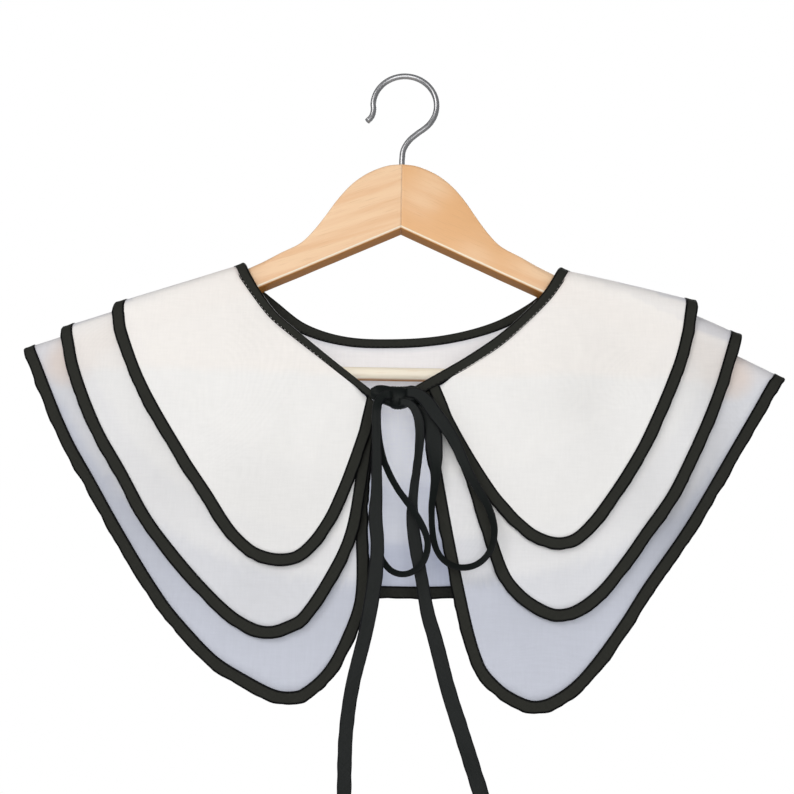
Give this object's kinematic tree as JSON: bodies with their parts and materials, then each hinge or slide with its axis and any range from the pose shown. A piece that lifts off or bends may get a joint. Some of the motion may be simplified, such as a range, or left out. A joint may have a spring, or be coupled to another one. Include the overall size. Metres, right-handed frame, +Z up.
{
  "type": "layered collar on a hanger",
  "caption": "Sheer tiered cape collar with dark bound edges and a ribbon bow at the front, hung over a wooden hanger with a bar and a wire hook.",
  "frame": {"origin": "inner top of the hanger's hook, where a rod carries it", "axes": "+Z up, +X along the hanger to the right of a viewer who faces the front, -Y out of the front"},
  "size_m": [0.5007, 0.0512, 0.4959],
  "materials": {
    "organza_warm_white": "sheer crisp organza, warm white",
    "organza_white": "sheer crisp organza, white",
    "organza_cool_white": "sheer crisp organza, cool white",
    "black_bias_tape": "folded bias tape, dull black",
    "black_tie_tape": "soft flat tie tape, black",
    "pale_hanger_wood": "pale lacquered wood",
    "hook_steel": "plain steel wire"
  },
  "bodies": {
    "root": {"tier_1_panel": "organza_warm_white", "tier_2_panel": "organza_white", "tier_3_panel": "organza_cool_white", "tier_1_binding": "black_bias_tape", "tier_2_binding": "black_bias_tape", "tier_3_binding": "black_bias_tape", "neck_binding": "black_bias_tape", "bow_knot": "black_tie_tape", "bow_loop_left": "black_tie_tape", "bow_loop_right": "black_tie_tape", "tie_tail_left": "black_tie_tape", "tie_tail_right": "black_tie_tape", "hanger_arm_left": "pale_hanger_wood", "hanger_arm_right": "pale_hanger_wood", "hanger_bar": "pale_hanger_wood", "hanger_hook": "hook_steel"}
  },
  "joints": []
}
